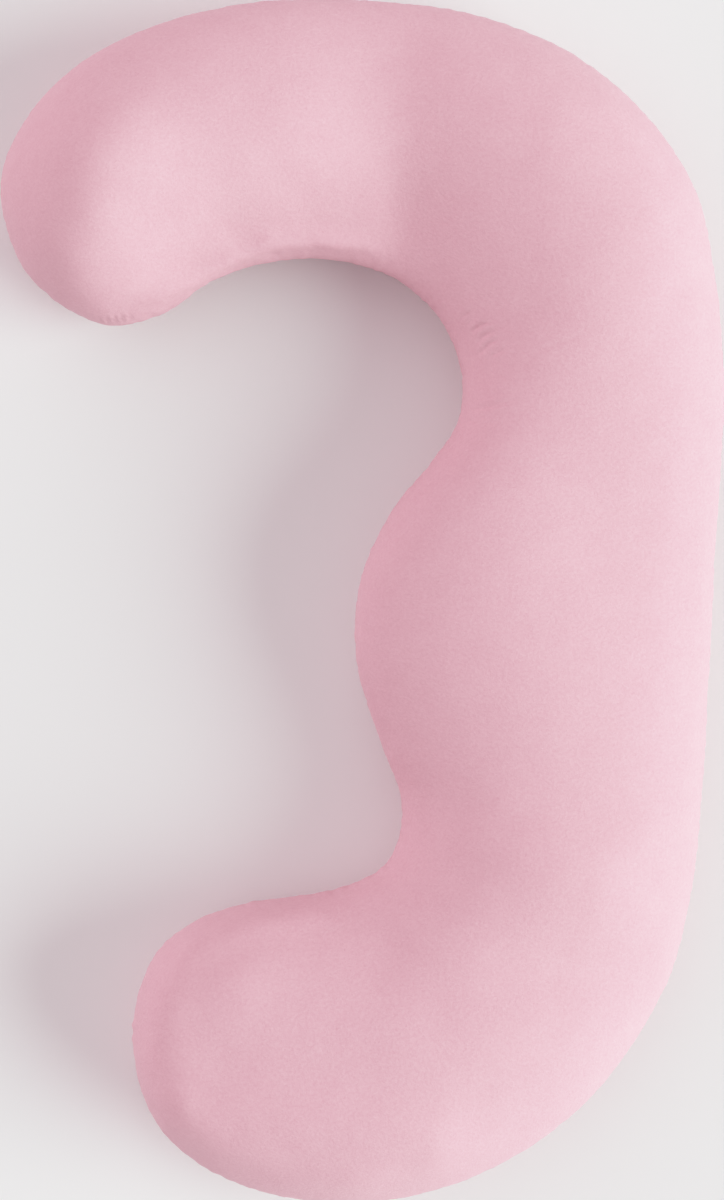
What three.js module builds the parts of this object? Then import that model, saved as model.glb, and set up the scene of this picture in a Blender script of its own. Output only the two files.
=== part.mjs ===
// A C-shaped pregnancy pillow lying on its back: two knitted cloth panels of one outline,
// sewn together round the edge and stuffed. It is one soft solid with a crowned top, sides
// drawn in a little along the seam, and an underside pressed flat where it rests.
// Millimetres. +Z is up out of the pillow's face, +Y runs towards the head end, the arms
// point to -X, and the origin is on the floor under the middle of the pillow.
import * as THREE from "three";

// The outline. Each section runs straight across the stuffed tube, from the outer edge of
// the C to its inner edge. seam is the height of the edge seam over the floor, crown is how
// far the top rises over the seam as a share of the section's half width, and lean moves the
// top of the crown towards the outer edge.
const HEAD_TIP = { edge: [-363, 354], seam: 76, crown: 0.74, lean: 0 };
const KNEE_TIP = { edge: [-249, -473], seam: 72, crown: 0.84, lean: 0 };
const SECTIONS = [
  { at: "head arm, round end", outer: [-391, 443], inner: [-284, 301], seam: 78, crown: 0.81, lean: 0.08 },
  { at: "head arm, lobe", outer: [-370, 508], inner: [-218, 311], seam: 81, crown: 0.83, lean: 0.14 },
  { at: "head arm, curl", outer: [-311, 574], inner: [-162, 347], seam: 88, crown: 0.79, lean: 0.12 },
  { at: "head arm, thick part", outer: [-219, 622], inner: [-108, 366], seam: 88, crown: 0.73, lean: 0.08 },
  { at: "head arm, middle", outer: [-108, 647], inner: [-48, 371], seam: 87, crown: 0.65, lean: 0 },
  { at: "head arm, root", outer: [3, 649], inner: [-2, 364], seam: 86, crown: 0.58, lean: -0.1 },
  { at: "head bend, crease", outer: [117, 634], inner: [34, 350], seam: 86, crown: 0.57, lean: 0.02 },
  { at: "head bend, shoulder", outer: [217, 596], inner: [63, 329], seam: 87, crown: 0.62, lean: 0.12 },
  { at: "head bend, corner", outer: [301, 530], inner: [86, 303], seam: 93, crown: 0.64, lean: 0.17 },
  { at: "head bend, end", outer: [359, 442], inner: [102, 270], seam: 95, crown: 0.655, lean: 0.15 },
  { at: "back, upper waist", outer: [382, 336], inner: [109, 232], seam: 96, crown: 0.655, lean: -0.02 },
  { at: "back, widest reach", outer: [391, 227], inner: [103, 191], seam: 97, crown: 0.635, lean: -0.18 },
  { at: "belly, upper slope", outer: [388, 146], inner: [75, 148], seam: 98, crown: 0.615, lean: -0.2 },
  { at: "belly, upper shoulder", outer: [382, 60], inner: [33, 96], seam: 99, crown: 0.585, lean: -0.16 },
  { at: "belly, upper half", outer: [378, -22], inner: [-1, 22], seam: 98, crown: 0.57, lean: -0.1 },
  { at: "belly, lower half", outer: [373, -98], inner: [-6, -66], seam: 98, crown: 0.57, lean: -0.02 },
  { at: "belly, lower shoulder", outer: [370, -168], inner: [21, -157], seam: 96, crown: 0.59, lean: 0.04 },
  { at: "back, lower waist", outer: [365, -240], inner: [43, -217], seam: 93, crown: 0.62, lean: 0.06 },
  { at: "knee bend, start", outer: [356, -313], inner: [40, -262], seam: 91, crown: 0.66, lean: 0.02 },
  { at: "knee bend, corner", outer: [329, -414], inner: [24, -290], seam: 91, crown: 0.68, lean: -0.04 },
  { at: "knee bend, middle", outer: [254, -529], inner: [0, -304], seam: 92, crown: 0.695, lean: -0.02 },
  { at: "knee bend, end", outer: [147, -610], inner: [-26, -313], seam: 92, crown: 0.68, lean: 0.02 },
  { at: "knee arm, root", outer: [25, -648], inner: [-63, -320], seam: 91, crown: 0.65, lean: -0.04 },
  { at: "knee arm, middle", outer: [-89, -644], inner: [-121, -329], seam: 87, crown: 0.655, lean: -0.08 },
  { at: "knee arm, rounding", outer: [-170, -614], inner: [-181, -350], seam: 80, crown: 0.715, lean: -0.06 },
  { at: "knee arm, round end", outer: [-226, -560], inner: [-227, -390], seam: 74, crown: 0.84, lean: 0 },
];

// Where the stuffing swells the top or leaves it hollow, as in the folds inside the bends. Each
// runs straight from one place to another, and rise is its height along that line.
const SWELLS = [
  { at: "head arm, its bulb", from: [-300, 375], to: [-290, 470], reach: 74, rise: 24 },
  { at: "head arm, its ridge", from: [-220, 455], to: [-90, 480], reach: 80, rise: 9 },
  { at: "head arm, under the bulb", from: [-190, 335], to: [-140, 375], reach: 48, rise: -17 },
  { at: "head arm, inner side", from: [-50, 400], to: [30, 410], reach: 52, rise: -16 },
  { at: "crease across the head bend", from: [46, 600], to: [30, 366], reach: 60, rise: -8 },
  { at: "head bend, outer side", from: [110, 540], to: [200, 510], reach: 65, rise: 10 },
  { at: "inside of the head bend", from: [92, 322], to: [150, 300], reach: 60, rise: -5 },
  { at: "back, over the belly", from: [220, 170], to: [260, 60], reach: 80, rise: -9 },
  { at: "inside of the knee bend", from: [34, -292], to: [10, -375], reach: 55, rise: -9 },
  { at: "knee bend, upper side", from: [140, -255], to: [250, -290], reach: 60, rise: 14 },
  { at: "knee bend, across", from: [-40, -345], to: [10, -365], reach: 50, rise: -7 },
  { at: "knee bend, outer side", from: [90, -410], to: [280, -400], reach: 50, rise: -10 },
  { at: "knee arm, upper side", from: [-180, -385], to: [-150, -395], reach: 48, rise: 12 },
  { at: "knee arm, outer side", from: [-180, -560], to: [70, -588], reach: 50, rise: 20 },
  { at: "knee arm, its end", from: [-210, -420], to: [-210, -530], reach: 36, rise: 10 },
];

const UNDERSIDE_SHARE = 1.12; // how far the underside would bulge, against the crown, with no floor
const FLOOR_ROUNDING = 12; // how gently the cloth lifts off the floor

// The stitching draws the sides in by depth along the seam, and the cloth just over and under
// it stands proud of the outline. A narrow section is drawn in by no more than the share most.
const SEAM_PULL = { depth: 4, spread: 9, proud: 1.8, most: 0.2 };

// The mesh. The points of a ring lie closer together near the seam.
const STEPS_PER_ROW = 4;
const POINTS_PER_FACE = 14;
const SEAM_CROWDING = 0.35;

const CLOTH = new THREE.MeshStandardMaterial({ color: 0xe6b9c6, roughness: 0.95, metalness: 0 });

const rows = [HEAD_TIP, ...SECTIONS, KNEE_TIP];
const lastRow = rows.length - 1;

// The closed edge line: down the outer side from the head tip, and back along the inner side.
const edgePoints = [
  HEAD_TIP.edge,
  ...SECTIONS.map((section) => section.outer),
  KNEE_TIP.edge,
  ...SECTIONS.map((section) => section.inner).reverse(),
].map(([x, y]) => new THREE.Vector3(x, y, 0));
const edgeLine = new THREE.CatmullRomCurve3(edgePoints, true, "centripetal");

// The columns that change from row to row, as one smooth line.
const fullnessLine = new THREE.CatmullRomCurve3(
  rows.map(({ seam, crown, lean }) => new THREE.Vector3(seam, crown, lean)),
  false,
  "catmullrom",
);

// The section at a row number, which needn't be whole.
function sectionAt(row) {
  const outer = edgeLine.getPoint(row / edgePoints.length);
  const inner = edgeLine.getPoint(1 - row / edgePoints.length);
  const fullness = fullnessLine.getPoint(row / lastRow);
  const half = outer.clone().sub(inner).divideScalar(2);
  const middle = inner.clone().add(half);
  return { middle, half, seam: fullness.x, crown: fullness.y * half.length(), lean: fullness.z };
}

// How far the swells and hollows lift the top at one place.
function swellAt(place) {
  return SWELLS.reduce((total, { from, to, reach, rise }) => {
    const line = new THREE.Line3(new THREE.Vector3(...from, 0), new THREE.Vector3(...to, 0));
    const nearest = line.closestPointToPoint(place, true, new THREE.Vector3());
    return total + rise * Math.exp(-((place.distanceTo(nearest) / reach) ** 2));
  }, 0);
}

// A height that would fall below the floor lies on it, and the cloth lifts off it in a curve.
function restOnFloor(height) {
  if (height <= -FLOOR_ROUNDING) return 0;
  if (height >= FLOOR_ROUNDING) return height;
  return (height + FLOOR_ROUNDING) ** 2 / (4 * FLOOR_ROUNDING);
}

// One point of the ring at a section. The angle is 0 on the outer seam, 90 degrees on the
// crown, 180 on the inner seam and 270 on the underside.
function ringPoint({ middle, half, seam, crown, lean }, angle) {
  const across = Math.cos(angle);
  const lift = Math.sin(angle);
  const over = lift >= 0;
  const rise = crown * lift * (over ? 1 + lean * across : UNDERSIDE_SHARE);
  const pull = SEAM_PULL.depth * Math.exp(-((rise / SEAM_PULL.spread) ** 2));
  const drawnIn = Math.min((pull - SEAM_PULL.proud) / half.length(), SEAM_PULL.most);
  const point = middle.clone().addScaledVector(half, across * (1 - drawnIn));
  return point.setZ(over ? seam + rise + swellAt(point) * lift : restOnFloor(seam + rise));
}

// The angles of one ring, once round.
function ringAngles() {
  return Array.from({ length: 2 * POINTS_PER_FACE }, (_, index) => {
    const share = index / POINTS_PER_FACE;
    return Math.PI * share - SEAM_CROWDING * Math.sin(2 * Math.PI * share);
  });
}

// The pillow's closed skin: a ring of points at each step, joined to the next, and a fan of
// triangles at each tip.
function pillowGeometry() {
  const angles = ringAngles();
  const steps = lastRow * STEPS_PER_ROW;
  const tipPoint = ({ edge: [x, y], seam }) => new THREE.Vector3(x, y, seam);
  const points = [tipPoint(HEAD_TIP)];
  for (let step = 1; step < steps; step++) {
    const section = sectionAt(step / STEPS_PER_ROW);
    points.push(...angles.map((angle) => ringPoint(section, angle)));
  }
  points.push(tipPoint(KNEE_TIP));

  const faces = [];
  const count = angles.length;
  const ringStart = (ring) => 1 + ring * count;
  const lastRing = steps - 2;
  for (let index = 0; index < count; index++) {
    const next = (index + 1) % count;
    faces.push(0, ringStart(0) + next, ringStart(0) + index);
    for (let ring = 0; ring < lastRing; ring++) {
      const [a, b] = [ringStart(ring) + index, ringStart(ring) + next];
      const [c, d] = [a + count, b + count];
      faces.push(a, b, d, a, d, c);
    }
    faces.push(points.length - 1, ringStart(lastRing) + index, ringStart(lastRing) + next);
  }
  return new THREE.BufferGeometry().setFromPoints(points).setIndex(faces);
}

const pillow = new THREE.Mesh(pillowGeometry(), CLOTH);
pillow.name = "pillow";

const group = new THREE.Group();
group.add(pillow);

export default group;
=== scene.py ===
"""A C-shaped pregnancy pillow in pink brushed jersey, lying on its back on a pale floor.

The skin repeats the part's own sections and swells, in millimetres, with many more points. Its
cloth settles over the stuffing in a short simulation. On top of that come the small lumps of the
stuffing, the seam with its puckers, the rolled edges, the creases and the gathers at the tip.
The grain and the fuzz of the jersey are in its material.
"""

import math

import bpy
import numpy as np
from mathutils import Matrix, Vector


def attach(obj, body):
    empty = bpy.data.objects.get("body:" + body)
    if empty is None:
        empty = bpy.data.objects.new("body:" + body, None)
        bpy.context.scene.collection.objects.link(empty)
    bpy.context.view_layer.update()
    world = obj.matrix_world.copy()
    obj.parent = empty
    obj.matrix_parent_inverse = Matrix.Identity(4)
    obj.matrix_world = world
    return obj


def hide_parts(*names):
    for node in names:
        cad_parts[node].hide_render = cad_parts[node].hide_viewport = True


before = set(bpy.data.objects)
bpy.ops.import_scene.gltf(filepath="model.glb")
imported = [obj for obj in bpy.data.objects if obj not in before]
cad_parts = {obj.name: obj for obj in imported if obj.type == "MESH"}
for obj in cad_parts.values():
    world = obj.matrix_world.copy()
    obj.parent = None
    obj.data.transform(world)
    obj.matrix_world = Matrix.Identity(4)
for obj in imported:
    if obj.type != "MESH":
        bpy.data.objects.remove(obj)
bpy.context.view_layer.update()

MM = 0.001  # metres

# The outline and fullness, as in the part's source: edge, outer and inner are places on the
# floor, seam is the height of the edge seam, crown the rise of the top over it as a share of
# the half width, and lean moves the top of the crown towards the outer edge.
HEAD_TIP = dict(edge=(-363, 354), seam=76, crown=0.74, lean=0)
KNEE_TIP = dict(edge=(-249, -473), seam=72, crown=0.84, lean=0)
SECTIONS = [
    dict(at="head arm, round end", outer=(-391, 443), inner=(-284, 301), seam=78, crown=0.81, lean=0.08),
    dict(at="head arm, lobe", outer=(-370, 508), inner=(-218, 311), seam=81, crown=0.83, lean=0.14),
    dict(at="head arm, curl", outer=(-311, 574), inner=(-162, 347), seam=88, crown=0.79, lean=0.12),
    dict(at="head arm, thick part", outer=(-219, 622), inner=(-108, 366), seam=88, crown=0.73, lean=0.08),
    dict(at="head arm, middle", outer=(-108, 647), inner=(-48, 371), seam=87, crown=0.65, lean=0),
    dict(at="head arm, root", outer=(3, 649), inner=(-2, 364), seam=86, crown=0.58, lean=-0.1),
    dict(at="head bend, crease", outer=(117, 634), inner=(34, 350), seam=86, crown=0.57, lean=0.02),
    dict(at="head bend, shoulder", outer=(217, 596), inner=(63, 329), seam=87, crown=0.62, lean=0.12),
    dict(at="head bend, corner", outer=(301, 530), inner=(86, 303), seam=93, crown=0.64, lean=0.17),
    dict(at="head bend, end", outer=(359, 442), inner=(102, 270), seam=95, crown=0.655, lean=0.15),
    dict(at="back, upper waist", outer=(382, 336), inner=(109, 232), seam=96, crown=0.655, lean=-0.02),
    dict(at="back, widest reach", outer=(391, 227), inner=(103, 191), seam=97, crown=0.635, lean=-0.18),
    dict(at="belly, upper slope", outer=(388, 146), inner=(75, 148), seam=98, crown=0.615, lean=-0.2),
    dict(at="belly, upper shoulder", outer=(382, 60), inner=(33, 96), seam=99, crown=0.585, lean=-0.16),
    dict(at="belly, upper half", outer=(378, -22), inner=(-1, 22), seam=98, crown=0.57, lean=-0.1),
    dict(at="belly, lower half", outer=(373, -98), inner=(-6, -66), seam=98, crown=0.57, lean=-0.02),
    dict(at="belly, lower shoulder", outer=(370, -168), inner=(21, -157), seam=96, crown=0.59, lean=0.04),
    dict(at="back, lower waist", outer=(365, -240), inner=(43, -217), seam=93, crown=0.62, lean=0.06),
    dict(at="knee bend, start", outer=(356, -313), inner=(40, -262), seam=91, crown=0.66, lean=0.02),
    dict(at="knee bend, corner", outer=(329, -414), inner=(24, -290), seam=91, crown=0.68, lean=-0.04),
    dict(at="knee bend, middle", outer=(254, -529), inner=(0, -304), seam=92, crown=0.695, lean=-0.02),
    dict(at="knee bend, end", outer=(147, -610), inner=(-26, -313), seam=92, crown=0.68, lean=0.02),
    dict(at="knee arm, root", outer=(25, -648), inner=(-63, -320), seam=91, crown=0.65, lean=-0.04),
    dict(at="knee arm, middle", outer=(-89, -644), inner=(-121, -329), seam=87, crown=0.655, lean=-0.08),
    dict(at="knee arm, rounding", outer=(-170, -614), inner=(-181, -350), seam=80, crown=0.715, lean=-0.06),
    dict(at="knee arm, round end", outer=(-226, -560), inner=(-227, -390), seam=74, crown=0.84, lean=0),
]
ROWS = [HEAD_TIP, *SECTIONS, KNEE_TIP]
LAST_ROW = len(ROWS) - 1

# Where the stuffing swells the top or leaves it hollow, also as in the part's source. Each runs
# straight from one place to another, and rise is its height along that line.
SWELLS = [
    dict(at="head arm, its bulb", start=(-300, 375), end=(-290, 470), reach=74, rise=24),
    dict(at="head arm, its ridge", start=(-220, 455), end=(-90, 480), reach=80, rise=9),
    dict(at="head arm, under the bulb", start=(-190, 335), end=(-140, 375), reach=48, rise=-17),
    dict(at="head arm, inner side", start=(-50, 400), end=(30, 410), reach=52, rise=-16),
    dict(at="crease across the head bend", start=(46, 600), end=(30, 366), reach=60, rise=-8),
    dict(at="head bend, outer side", start=(110, 540), end=(200, 510), reach=65, rise=10),
    dict(at="inside of the head bend", start=(92, 322), end=(150, 300), reach=60, rise=-5),
    dict(at="back, over the belly", start=(220, 170), end=(260, 60), reach=80, rise=-9),
    dict(at="inside of the knee bend", start=(34, -292), end=(10, -375), reach=55, rise=-9),
    dict(at="knee bend, upper side", start=(140, -255), end=(250, -290), reach=60, rise=14),
    dict(at="knee bend, across", start=(-40, -345), end=(10, -365), reach=50, rise=-7),
    dict(at="knee bend, outer side", start=(90, -410), end=(280, -400), reach=50, rise=-10),
    dict(at="knee arm, upper side", start=(-180, -385), end=(-150, -395), reach=48, rise=12),
    dict(at="knee arm, outer side", start=(-180, -560), end=(70, -588), reach=50, rise=20),
    dict(at="knee arm, its end", start=(-210, -420), end=(-210, -530), reach=36, rise=10),
]

# How far the underside would bulge, against the crown, with no floor, and how gently the cloth
# lifts off the floor.
UNDERSIDE_SHARE = 1.12
FLOOR_ROUNDING = 12

# The stitching draws the sides in by depth along the seam, and the cloth just over and under it
# stands proud. A narrow section is drawn in by no more than the share most.
SEAM_PULL = dict(depth=4, spread=9, proud=1.8, most=0.2)

# How fine the skin is: rings for each row of the table, and points of a ring over and under
# the seam, which lie closer together beside it.
RINGS_PER_ROW = 24
POINTS_OVER = 96
POINTS_UNDER = 40
SEAM_CROWDING = 0.38

# The cloth settles over its stuffing in a simulation with half as many rings and points. The
# stuffing holds it softly, and the seam and the floor hold it fast within their reach. No point
# moves further than most, in millimetres. The weights of the hold are rounded to so many steps.
CLOTH = dict(steps=20, quality=5, stretch=15, bending=3.0, pressure=2.0, mass=0.3)
HOLD = dict(stuffing=0.14, seam_reach=12, floor_reach=6, most=1.2, steps=100)

# The stitched groove, and the puckers that the gathered stitching leaves beside it.
STITCH_GROOVE = dict(deep=1.5, wide=2.2)
PUCKERS = dict(shortest=9, longest=20, waves=48, swell=0.55, reach=20)

# The stuffing's lumps, from the broadest to the smallest.
LUMPS = [
    dict(shortest=150, longest=320, waves=14, swell=0.4),
    dict(shortest=50, longest=110, waves=26, swell=0.16),
    dict(shortest=18, longest=40, waves=40, swell=0.05),
]

# Where the cloth rolls over close to the edge, so that it is flatter inside the roll and
# steeper outside it.
ROLLS = [
    dict(at="head arm, inner edge", reach=9, rise=8.5,
         path=[(-264, 313), (-222, 327), (-180, 349), (-140, 371), (-100, 385), (-50, 389),
               (0, 383), (36, 366)]),
    dict(at="knee arm, inner edge", reach=13, rise=5,
         path=[(-212, -412), (-180, -375), (-122, -350), (-60, -340), (-20, -338)]),
    dict(at="knee arm, lower left", reach=24, rise=5,
         path=[(-206, -500), (-186, -552), (-150, -584), (-84, -608), (0, -616), (60, -606)]),
]
ROLL_TAPER = 0.25

# Fine creases of the cloth: wide is the distance from the middle of a crease to its raised sides.
CREASES = [
    dict(at="inside of the head bend, first", path=[(102, 300), (110, 306), (120, 308)], wide=2.4, deep=1.2),
    dict(at="inside of the head bend, second", path=[(114, 285), (124, 293), (137, 297)], wide=2.4, deep=1.7),
    dict(at="inside of the head bend, third", path=[(122, 276), (133, 285), (147, 288)], wide=2.4, deep=1.7),
    dict(at="inside of the head bend, fourth", path=[(128, 267), (137, 275), (148, 278)], wide=2.2, deep=1.5),
    dict(at="inside of the head bend, fifth", path=[(134, 257), (143, 264), (155, 267)], wide=2.4, deep=1.2),
    dict(at="inside of the head bend, sixth", path=[(122, 262), (134, 270)], wide=2.2, deep=1.0),
    dict(at="shoulder, long", path=[(179, 261), (209, 273), (237, 279)], wide=3.0, deep=0.7),
    dict(at="upper waist, long", path=[(106, 202), (138, 207), (171, 214)], wide=2.8, deep=1.0),
    dict(at="upper waist, lower", path=[(126, 185), (148, 190)], wide=2.6, deep=0.6),
    dict(at="under the head arm, first", path=[(-205, 343), (-176, 362), (-148, 376)], wide=2.6, deep=0.35),
    dict(at="under the head arm, second", path=[(-196, 355), (-166, 373), (-130, 389)], wide=2.6, deep=0.3),
    dict(at="knee arm, upper side, first", path=[(-86, -336), (-66, -352)], wide=3.0, deep=0.7),
    dict(at="knee arm, upper side, second", path=[(-78, -334), (-60, -348)], wide=2.6, deep=0.6),
]
CREASE_TAPER = 0.4

# The gathers beside the head arm's tip, where the seam turns tightly.
TIP_GATHERS = dict(first=(-282, 296), last=(-250, 300), count=5, long=11, wide=2.4, deep=1.1)

# The details grow from nothing on the floor to their full depth at this height.
DETAIL_HEIGHT = 30

# The jersey. The grain is drawn out across the pillow, and the fuzz is finer. Each noise has its
# shares in the tone, which runs from the dark to the light colour, and in the bumps.
JERSEY = dict(
    roughness=0.92, specular=0.15, sheen=0.12, sheen_roughness=0.45, sheen_tint=(1.0, 0.93, 0.95, 1.0),
    dark=(0.775, 0.437, 0.512, 1), dark_at=0.3, light=(0.86, 0.533, 0.6, 1), light_at=0.7,
    bump_strength=0.7, bump_height=0.001,
)
GRAIN = dict(scale=330.0, detail=2.0, roughness=0.6, drawn_out=(0.75, 1.0, 1.0), tone=0.5, bumps=0.75)
FUZZ = dict(scale=800.0, detail=2.0, roughness=0.6, drawn_out=(1.0, 1.0, 1.0), tone=0.3, bumps=0.25)
PATCHES = dict(scale=30.0, detail=3.0, roughness=0.5, drawn_out=(1.0, 1.0, 1.0), tone=0.2, bumps=0.0)

# The floor, in metres. It lies a little below the cloth, so that the two don't coincide.
FLOOR = dict(size=60.0, drop=0.0005, colour=(0.88, 0.88, 0.88, 1), roughness=0.9)

# The camera, in metres, but for its sensor in millimetres. The long side of the picture takes in
# frame_long at the height of the seam.
CAMERA = dict(height=4.5, seam_height=0.09, frame_long=1.3, sensor=36)

# The studio lights. A strength of 1 lights a white surface that faces it to white.
LIGHTS = [
    dict(name="key", azimuth=-16, elevation=25, spread=50, strength=0.995, colour=(0.84, 1.0, 0.945)),
    dict(name="opposite", azimuth=148, elevation=30, spread=110, strength=0.5, colour=(1.0, 0.93, 0.955)),
]
FILL_LIGHT = dict(strength=0.385, colour=(1.0, 0.865, 0.91))

# Highlights roll off from the start, and come to white at the value white.
ROLL_OFF = dict(start=0.6, white=1.5)

random = np.random.default_rng(11)


def table_column(name):
    """One column of the table, from the head tip to the knee tip."""
    return np.array([row[name] for row in ROWS], float)


def edge_points():
    """The corners of the closed edge line, out along the outer side and back along the inner."""
    outer = [section["outer"] for section in SECTIONS]
    inner = [section["inner"] for section in SECTIONS]
    return np.array([HEAD_TIP["edge"], *outer, KNEE_TIP["edge"], *reversed(inner)], float)


def cubic(start, end, leave, arrive, share):
    """A cubic from start to end with the given slopes at its ends."""
    bend = -3 * start + 3 * end - 2 * leave - arrive
    twist = 2 * start - 2 * end + leave + arrive
    return start + leave * share + bend * share**2 + twist * share**3


def edge_line(at):
    """The edge line at row numbers, as a closed centripetal Catmull-Rom curve."""
    points = edge_points()
    index = np.floor(at).astype(int)
    before, start, end, after = (points[(index + step) % len(points)] for step in (-1, 0, 1, 2))

    def knot(a, b):
        return np.sqrt(np.linalg.norm(b - a, axis=1))[:, None]

    first, middle, last = knot(before, start), knot(start, end), knot(end, after)
    leave = (start - before) / first - (end - before) / (first + middle) + (end - start) / middle
    arrive = (end - start) / middle - (after - start) / (middle + last) + (after - end) / last
    share = (at - index)[:, None]
    return cubic(start, end, leave * middle, arrive * middle, share)


def fullness(name, at):
    """One column of the table at row numbers, as an open Catmull-Rom curve."""
    values = table_column(name)
    values = np.array([2 * values[0] - values[1], *values, 2 * values[-1] - values[-2]])
    index = np.minimum(np.floor(at).astype(int), LAST_ROW - 1)
    before, start, end, after = (values[index + step] for step in (0, 1, 2, 3))
    return cubic(start, end, (end - before) / 2, (after - start) / 2, at - index)


def distance_to(places, path):
    """How far each place lies from a path of straight stretches, and beside which share of it."""
    path = np.array(path, float)
    passed = np.concatenate([[0], np.cumsum(np.linalg.norm(np.diff(path, axis=0), axis=1))])
    nearest, beside = np.full(places.shape[:-1], math.inf), np.zeros(places.shape[:-1])
    for k, (start, end) in enumerate(zip(path, path[1:])):
        line = end - start
        share = np.clip((places - start) @ line / (line @ line), 0, 1)
        away = np.linalg.norm(places - start - share[..., None] * line, axis=-1)
        beside = np.where(away < nearest, passed[k] + share * (passed[k + 1] - passed[k]), beside)
        nearest = np.minimum(nearest, away)
    return nearest, beside / passed[-1]


def swell_at(places):
    """How far the swells and hollows lift the top."""
    total = 0
    for swell in SWELLS:
        away, _ = distance_to(places, [swell["start"], swell["end"]])
        total = total + swell["rise"] * np.exp(-((away / swell["reach"]) ** 2))
    return total


def rest_on_floor(height):
    """What would lie below the floor lies on it, and the cloth lifts off it in a curve."""
    eased = (height + FLOOR_ROUNDING) ** 2 / (4 * FLOOR_ROUNDING)
    below, clear = height <= -FLOOR_ROUNDING, height >= FLOOR_ROUNDING
    return np.select([clear, below], [height, 0], eased)


def ring_angles():
    """Once round a ring: 0 is the outer seam, 90 degrees the crown and 180 the inner seam."""

    def half_turn(count):
        share = np.arange(count) / count
        return math.pi * share - SEAM_CROWDING * np.sin(2 * math.pi * share)

    return np.concatenate([half_turn(POINTS_OVER), math.pi + half_turn(POINTS_UNDER)])


def plain_skin(rows, angles):
    """The stuffed form without its details, as rings of points in millimetres."""
    outer, inner = edge_line(rows), edge_line(-rows)
    half = (outer - inner) / 2
    half_width = np.linalg.norm(half, axis=1)[:, None]
    seam, crown, lean = (fullness(name, rows)[:, None] for name in ("seam", "crown", "lean"))
    across, lift = np.cos(angles), np.sin(angles)
    over = lift >= 0
    rise = crown * half_width * lift * np.where(over, 1 + lean * across, UNDERSIDE_SHARE)
    pull = SEAM_PULL["depth"] * np.exp(-((rise / SEAM_PULL["spread"]) ** 2))
    drawn_in = np.minimum((pull - SEAM_PULL["proud"]) / half_width, SEAM_PULL["most"])
    places = (inner + half)[:, None] + half[:, None] * (across * (1 - drawn_in))[..., None]
    height = np.where(over, seam + rise + swell_at(places) * lift, rest_on_floor(seam + rise))
    return np.concatenate([places, height[..., None]], axis=2)


def normals_of(points):
    """Outward directions on the rings."""
    along = np.gradient(points, axis=0)
    around = np.roll(points, -1, axis=1) - np.roll(points, 1, axis=1)
    outward = np.cross(around, along)
    return outward / np.linalg.norm(outward, axis=2, keepdims=True)


def ripple(points, shortest, longest, waves):
    """An even random swell of about 1 that runs in every direction, from a sum of plane waves."""
    size = points.shape[-1]
    direction = random.normal(size=(waves, size))
    direction /= np.linalg.norm(direction, axis=1, keepdims=True)
    length = np.exp(random.uniform(math.log(shortest), math.log(longest), waves))
    phase = random.uniform(0, 2 * math.pi, waves)
    total = np.zeros(points.shape[:-1])
    for k in range(waves):
        total += np.sin(points @ direction[k] * (2 * math.pi / length[k]) + phase[k])
    return total * math.sqrt(2 / waves)


def between(value, low, high, soft):
    """1 between two limits and 0 outside them, with soft ends."""
    rise = np.clip((value - low) / soft, 0, 1)
    fall = np.clip((high - value) / soft, 0, 1)
    both = np.minimum(rise, fall)
    return both * both * (3 - 2 * both)


def tip_gathers():
    """Short creases side by side, straight out from the seam at the head arm's tip."""
    first, last = np.array(TIP_GATHERS["first"], float), np.array(TIP_GATHERS["last"], float)
    along = (last - first) / np.linalg.norm(last - first)
    inwards = np.array([-along[1], along[0]]) * TIP_GATHERS["long"]
    shares = np.linspace(0, 1, TIP_GATHERS["count"])
    starts = [first + share * (last - first) for share in shares]
    return [dict(TIP_GATHERS, path=[start, start + inwards]) for start in starts]


def height_from_seam(points, rows):
    """How far each point of the rings is over or under the seam."""
    return np.abs(points[..., 2] - fullness("seam", rows)[:, None])


def lump_relief(points):
    """How far the small lumps of the stuffing lift the cloth."""
    total = 0
    for lump in LUMPS:
        total = total + lump["swell"] * ripple(points, lump["shortest"], lump["longest"], lump["waves"])
    return total


def seam_relief(places, from_seam):
    """The puckers beside the seam, less its groove."""
    gathers = ripple(places, PUCKERS["shortest"], PUCKERS["longest"], PUCKERS["waves"])
    puckers = PUCKERS["swell"] * gathers * np.exp(-from_seam / PUCKERS["reach"])
    groove = STITCH_GROOVE["deep"] * np.exp(-((from_seam / STITCH_GROOVE["wide"]) ** 2))
    return puckers - groove


def roll_relief(places):
    """How far the rolled edges lift the top."""
    total = 0
    for roll in ROLLS:
        away, share = distance_to(places, roll["path"])
        height = roll["rise"] * between(share, 0, 1, ROLL_TAPER)
        total = total + height * np.exp(-((away / roll["reach"]) ** 2))
    return total


def crease_depth(places):
    """How deep the creases and the gathers at the tip are in the top, with raised sides."""
    total = 0
    for crease in CREASES + tip_gathers():
        away, share = distance_to(places, crease["path"])
        depth = crease["deep"] * between(share, 0, 1, CREASE_TAPER)
        away = away / crease["wide"]
        total = total + depth * (1 - away**2) * np.exp(-(away**2) / 2)
    return total


def detailed_skin(rows, angles, shift):
    """The skin with the cloth's shift and all its low relief."""
    points = plain_skin(rows, angles)
    places = points[..., :2]
    over = np.sin(angles) >= 0
    swell = shift + lump_relief(points) + seam_relief(places, height_from_seam(points, rows))
    swell += over * (roll_relief(places) - crease_depth(places))
    off_floor = between(points[..., 2], 0, math.inf, DETAIL_HEIGHT)
    points = points + normals_of(points) * (swell * off_floor)[..., None]
    points[..., 2] = np.maximum(points[..., 2], 0)
    return points


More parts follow.
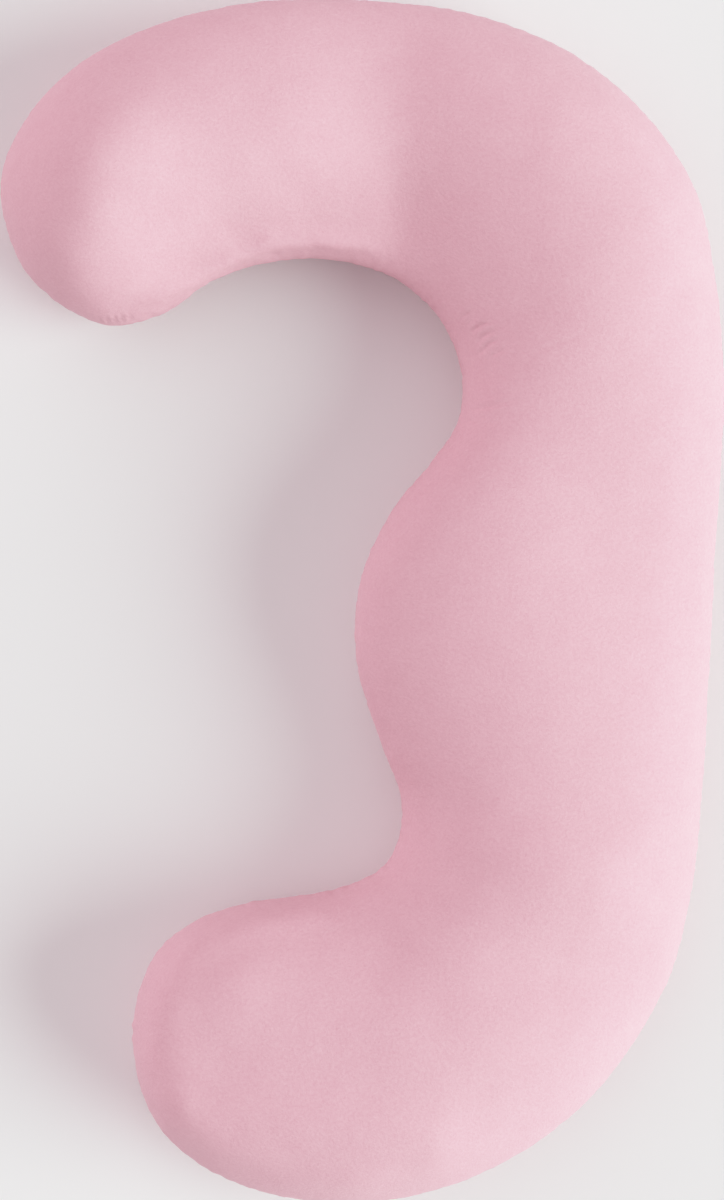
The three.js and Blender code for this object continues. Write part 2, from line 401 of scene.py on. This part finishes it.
def closed_piece(name, rings):
    """An object of the closed skin, with a fan of triangles at each tip."""
    tips = [(*tip["edge"], tip["seam"]) for tip in (HEAD_TIP, KNEE_TIP)]
    vertices = np.concatenate([rings.reshape(-1, 3), tips]) * MM
    count = rings.shape[1]
    index = np.arange(len(rings) * count).reshape(len(rings), count)
    following = np.roll(index, -1, axis=1)
    quads = np.stack([index[:-1], following[:-1], following[1:], index[1:]], axis=2).reshape(-1, 4)
    head, knee = len(vertices) - 2, len(vertices) - 1
    faces = quads.tolist()
    faces += [(head, following[0, k], index[0, k]) for k in range(count)]
    faces += [(knee, index[-1, k], following[-1, k]) for k in range(count)]
    mesh = bpy.data.meshes.new(name)
    mesh.from_pydata(vertices.tolist(), [], faces)
    piece = bpy.data.objects.new(name, mesh)
    bpy.context.scene.collection.objects.link(piece)
    return piece


def add_weights(piece, name, weights):
    """Gives a piece a vertex group whose weights go in steps."""
    group = piece.vertex_groups.new(name=name)
    steps = np.round(weights * HOLD["steps"]).astype(int)
    for step in np.unique(steps[steps > 0]):
        group.add(np.flatnonzero(steps == step).tolist(), step / HOLD["steps"], "REPLACE")


def simulated(piece, held):
    """Where the points of a piece are when its cloth has settled, in millimetres."""
    add_weights(piece, "held", held)
    settings = piece.modifiers.new("cloth", "CLOTH").settings
    settings.quality = CLOTH["quality"]
    settings.mass = CLOTH["mass"]
    settings.tension_stiffness = CLOTH["stretch"]
    settings.compression_stiffness = CLOTH["stretch"]
    settings.bending_stiffness = CLOTH["bending"]
    settings.use_pressure = True
    settings.uniform_pressure_force = CLOTH["pressure"]
    settings.vertex_group_mass = "held"
    settings.effector_weights.gravity = 0
    scene = bpy.context.scene
    for step in range(1, CLOTH["steps"] + 1):
        scene.frame_set(step)
    shape = piece.evaluated_get(bpy.context.evaluated_depsgraph_get()).to_mesh()
    places = np.empty(len(shape.vertices) * 3, np.float32)
    shape.vertices.foreach_get("co", places)
    scene.frame_set(1)
    return places.reshape(-1, 3) / MM


def refined(values, axis):
    """Twice as many values along a closed line, each new one from the four nearest."""
    following = np.roll(values, -1, axis)
    outer_pair = np.roll(values, 1, axis) + np.roll(values, -2, axis)
    halfway = (9 * (values + following) - outer_pair) / 16
    shape = list(values.shape)
    shape[axis] *= 2
    return np.stack([values, halfway], axis + 1).reshape(shape)


def settled_shift(rows, angles):
    """How far the cloth moves outwards as it settles over its stuffing."""
    rows, angles = rows[1::2], angles[::2]
    rings = plain_skin(rows, angles)
    piece = closed_piece("settling", rings)
    from_seam = height_from_seam(rings, rows)
    held = np.maximum(HOLD["stuffing"], np.exp(-((from_seam / HOLD["seam_reach"]) ** 2)))
    held[rings[..., 2] < HOLD["floor_reach"]] = 1
    held_tips = [1, 1]
    moved = simulated(piece, np.append(held, held_tips))[:-2].reshape(rings.shape) - rings
    bpy.data.objects.remove(piece)
    outwards = (moved * normals_of(rings)).sum(axis=2)
    shift = HOLD["most"] * np.tanh(outwards / HOLD["most"])
    from_tip = np.vstack([np.zeros(len(angles)), shift])
    return refined(refined(from_tip, 0)[1:], 1)


def make_pillow():
    """The pillow's cover as one closed mesh."""
    steps = LAST_ROW * RINGS_PER_ROW
    rows = np.arange(1, steps) / RINGS_PER_ROW
    angles = ring_angles()
    rings = detailed_skin(rows, angles, settled_shift(rows, angles))
    pillow = closed_piece("pillow_cover", rings)
    pillow.data.shade_smooth()
    return pillow


def node(tree, kind, **settings):
    """A new shader node with values for its sockets and its own settings."""
    made = tree.nodes.new(kind)
    for name, value in settings.items():
        if name in made.inputs:
            made.inputs[name].default_value = value
        else:
            setattr(made, name, value)
    return made


def noise(tree, look):
    """A noise over the object, drawn out as its look says."""
    place = node(tree, "ShaderNodeTexCoord")
    drawn_out = node(tree, "ShaderNodeMapping", Scale=look["drawn_out"])
    tree.links.new(place.outputs["Object"], drawn_out.inputs["Vector"])
    settings = dict(Scale=look["scale"], Detail=look["detail"], Roughness=look["roughness"])
    made = node(tree, "ShaderNodeTexNoise", **settings)
    tree.links.new(drawn_out.outputs["Vector"], made.inputs["Vector"])
    return made.outputs["Fac"]


def mixed(tree, noises, share_name):
    """The noises added up, each by its share."""
    total = None
    for look, source in noises:
        if not look[share_name]:
            continue
        part = node(tree, "ShaderNodeMath", operation="MULTIPLY_ADD")
        part.inputs[1].default_value = look[share_name]
        part.inputs[2].default_value = 0.0
        tree.links.new(source, part.inputs[0])
        if total is not None:
            tree.links.new(total, part.inputs[2])
        total = part.outputs["Value"]
    return total


def brushed_jersey():
    """Pink cotton jersey with a brushed face: matte, with a pebbly grain and a fine fuzz."""
    material = bpy.data.materials.new("brushed_jersey")
    material.use_nodes = True
    tree = material.node_tree
    shader = tree.nodes["Principled BSDF"]
    shader.inputs["Roughness"].default_value = JERSEY["roughness"]
    shader.inputs["Specular IOR Level"].default_value = JERSEY["specular"]
    shader.inputs["Sheen Weight"].default_value = JERSEY["sheen"]
    shader.inputs["Sheen Roughness"].default_value = JERSEY["sheen_roughness"]
    shader.inputs["Sheen Tint"].default_value = JERSEY["sheen_tint"]

    noises = [(look, noise(tree, look)) for look in (GRAIN, FUZZ, PATCHES)]
    colours = node(tree, "ShaderNodeValToRGB")
    for stop, name in zip(colours.color_ramp.elements, ("dark", "light")):
        stop.position = JERSEY[name + "_at"]
        stop.color = JERSEY[name]
    tree.links.new(mixed(tree, noises, "tone"), colours.inputs["Fac"])
    tree.links.new(colours.outputs["Color"], shader.inputs["Base Color"])

    bump = node(tree, "ShaderNodeBump", Strength=JERSEY["bump_strength"], Distance=JERSEY["bump_height"])
    tree.links.new(mixed(tree, noises, "bumps"), bump.inputs["Height"])
    tree.links.new(bump.outputs["Normal"], shader.inputs["Normal"])
    return material


def pale_floor():
    """A wide off-white floor, a little below the cloth that lies on it."""
    half = FLOOR["size"] / 2
    corners = [(-half, -half), (half, -half), (half, half), (-half, half)]
    mesh = bpy.data.meshes.new("floor")
    mesh.from_pydata([(x, y, -FLOOR["drop"]) for x, y in corners], [], [(0, 1, 2, 3)])
    floor = bpy.data.objects.new("floor", mesh)
    bpy.context.scene.collection.objects.link(floor)
    material = bpy.data.materials.new("floor")
    material.use_nodes = True
    shader = material.node_tree.nodes["Principled BSDF"]
    shader.inputs["Base Color"].default_value = FLOOR["colour"]
    shader.inputs["Roughness"].default_value = FLOOR["roughness"]
    mesh.materials.append(material)
    return floor


def towards_the_light(azimuth, elevation):
    """The direction of a light, with azimuth 0 at the right of the picture and 90 at its top."""
    azimuth, elevation = math.radians(azimuth), math.radians(elevation)
    level = math.cos(elevation)
    return Vector((level * math.cos(azimuth), level * math.sin(azimuth), math.sin(elevation)))


def studio():
    """Very soft lights from far away, and an even fill from all round."""
    for light in LIGHTS:
        lamp = bpy.data.lights.new(light["name"], "SUN")
        lamp.angle = math.radians(light["spread"])
        lamp.energy = light["strength"] * math.pi
        lamp.color = light["colour"]
        made = bpy.data.objects.new(light["name"], lamp)
        direction = towards_the_light(light["azimuth"], light["elevation"])
        made.rotation_euler = direction.to_track_quat("Z", "Y").to_euler()
        bpy.context.scene.collection.objects.link(made)
    world = bpy.data.worlds.new("studio")
    bpy.context.scene.world = world
    world.use_nodes = True
    background = world.node_tree.nodes["Background"]
    background.inputs["Color"].default_value = (*FILL_LIGHT["colour"], 1)
    background.inputs["Strength"].default_value = FILL_LIGHT["strength"]


def camera():
    """Straight above the pillow, with the frame's long side as long as the pillow."""
    lens_camera = bpy.data.cameras.new("camera")
    lens_camera.sensor_width = CAMERA["sensor"]
    distance = CAMERA["height"] - CAMERA["seam_height"]
    lens_camera.lens = CAMERA["sensor"] * distance / CAMERA["frame_long"]
    seen_by = bpy.data.objects.new("camera", lens_camera)
    seen_by.location = (0, 0, CAMERA["height"])
    bpy.context.scene.collection.objects.link(seen_by)
    bpy.context.scene.camera = seen_by


def roll_off_highlights():
    """Plain colours, but for bright ones that come to white gently, as on film."""
    view = bpy.context.scene.view_settings
    view.view_transform = "Standard"
    view.look = "None"
    view.use_curve_mapping = True
    mapping = view.curve_mapping
    start, white = ROLL_OFF["start"], ROLL_OFF["white"]
    mapping.white_level = (white, white, white)
    for_all_colours = mapping.curves[3]
    room = white - start
    # A cubic that goes on straight from the start and is level where it comes to white.
    for share in (0.25, 0.5, 0.75):
        left = 1 - share
        shown = start * (1 + 2 * share) * left**2 + room * share * left**2 + (3 - 2 * share) * share**2
        for_all_colours.points.new((start + share * room) / white, shown)
    # Under the start each value is shown as it is.
    for share in (0.5, 1.0):
        for_all_colours.points.new(start * share / white, start * share)
    mapping.update()


pillow = make_pillow()
pillow.data.materials.append(brushed_jersey())
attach(pillow, "root")
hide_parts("pillow")
pale_floor()
studio()
camera()
roll_off_highlights()
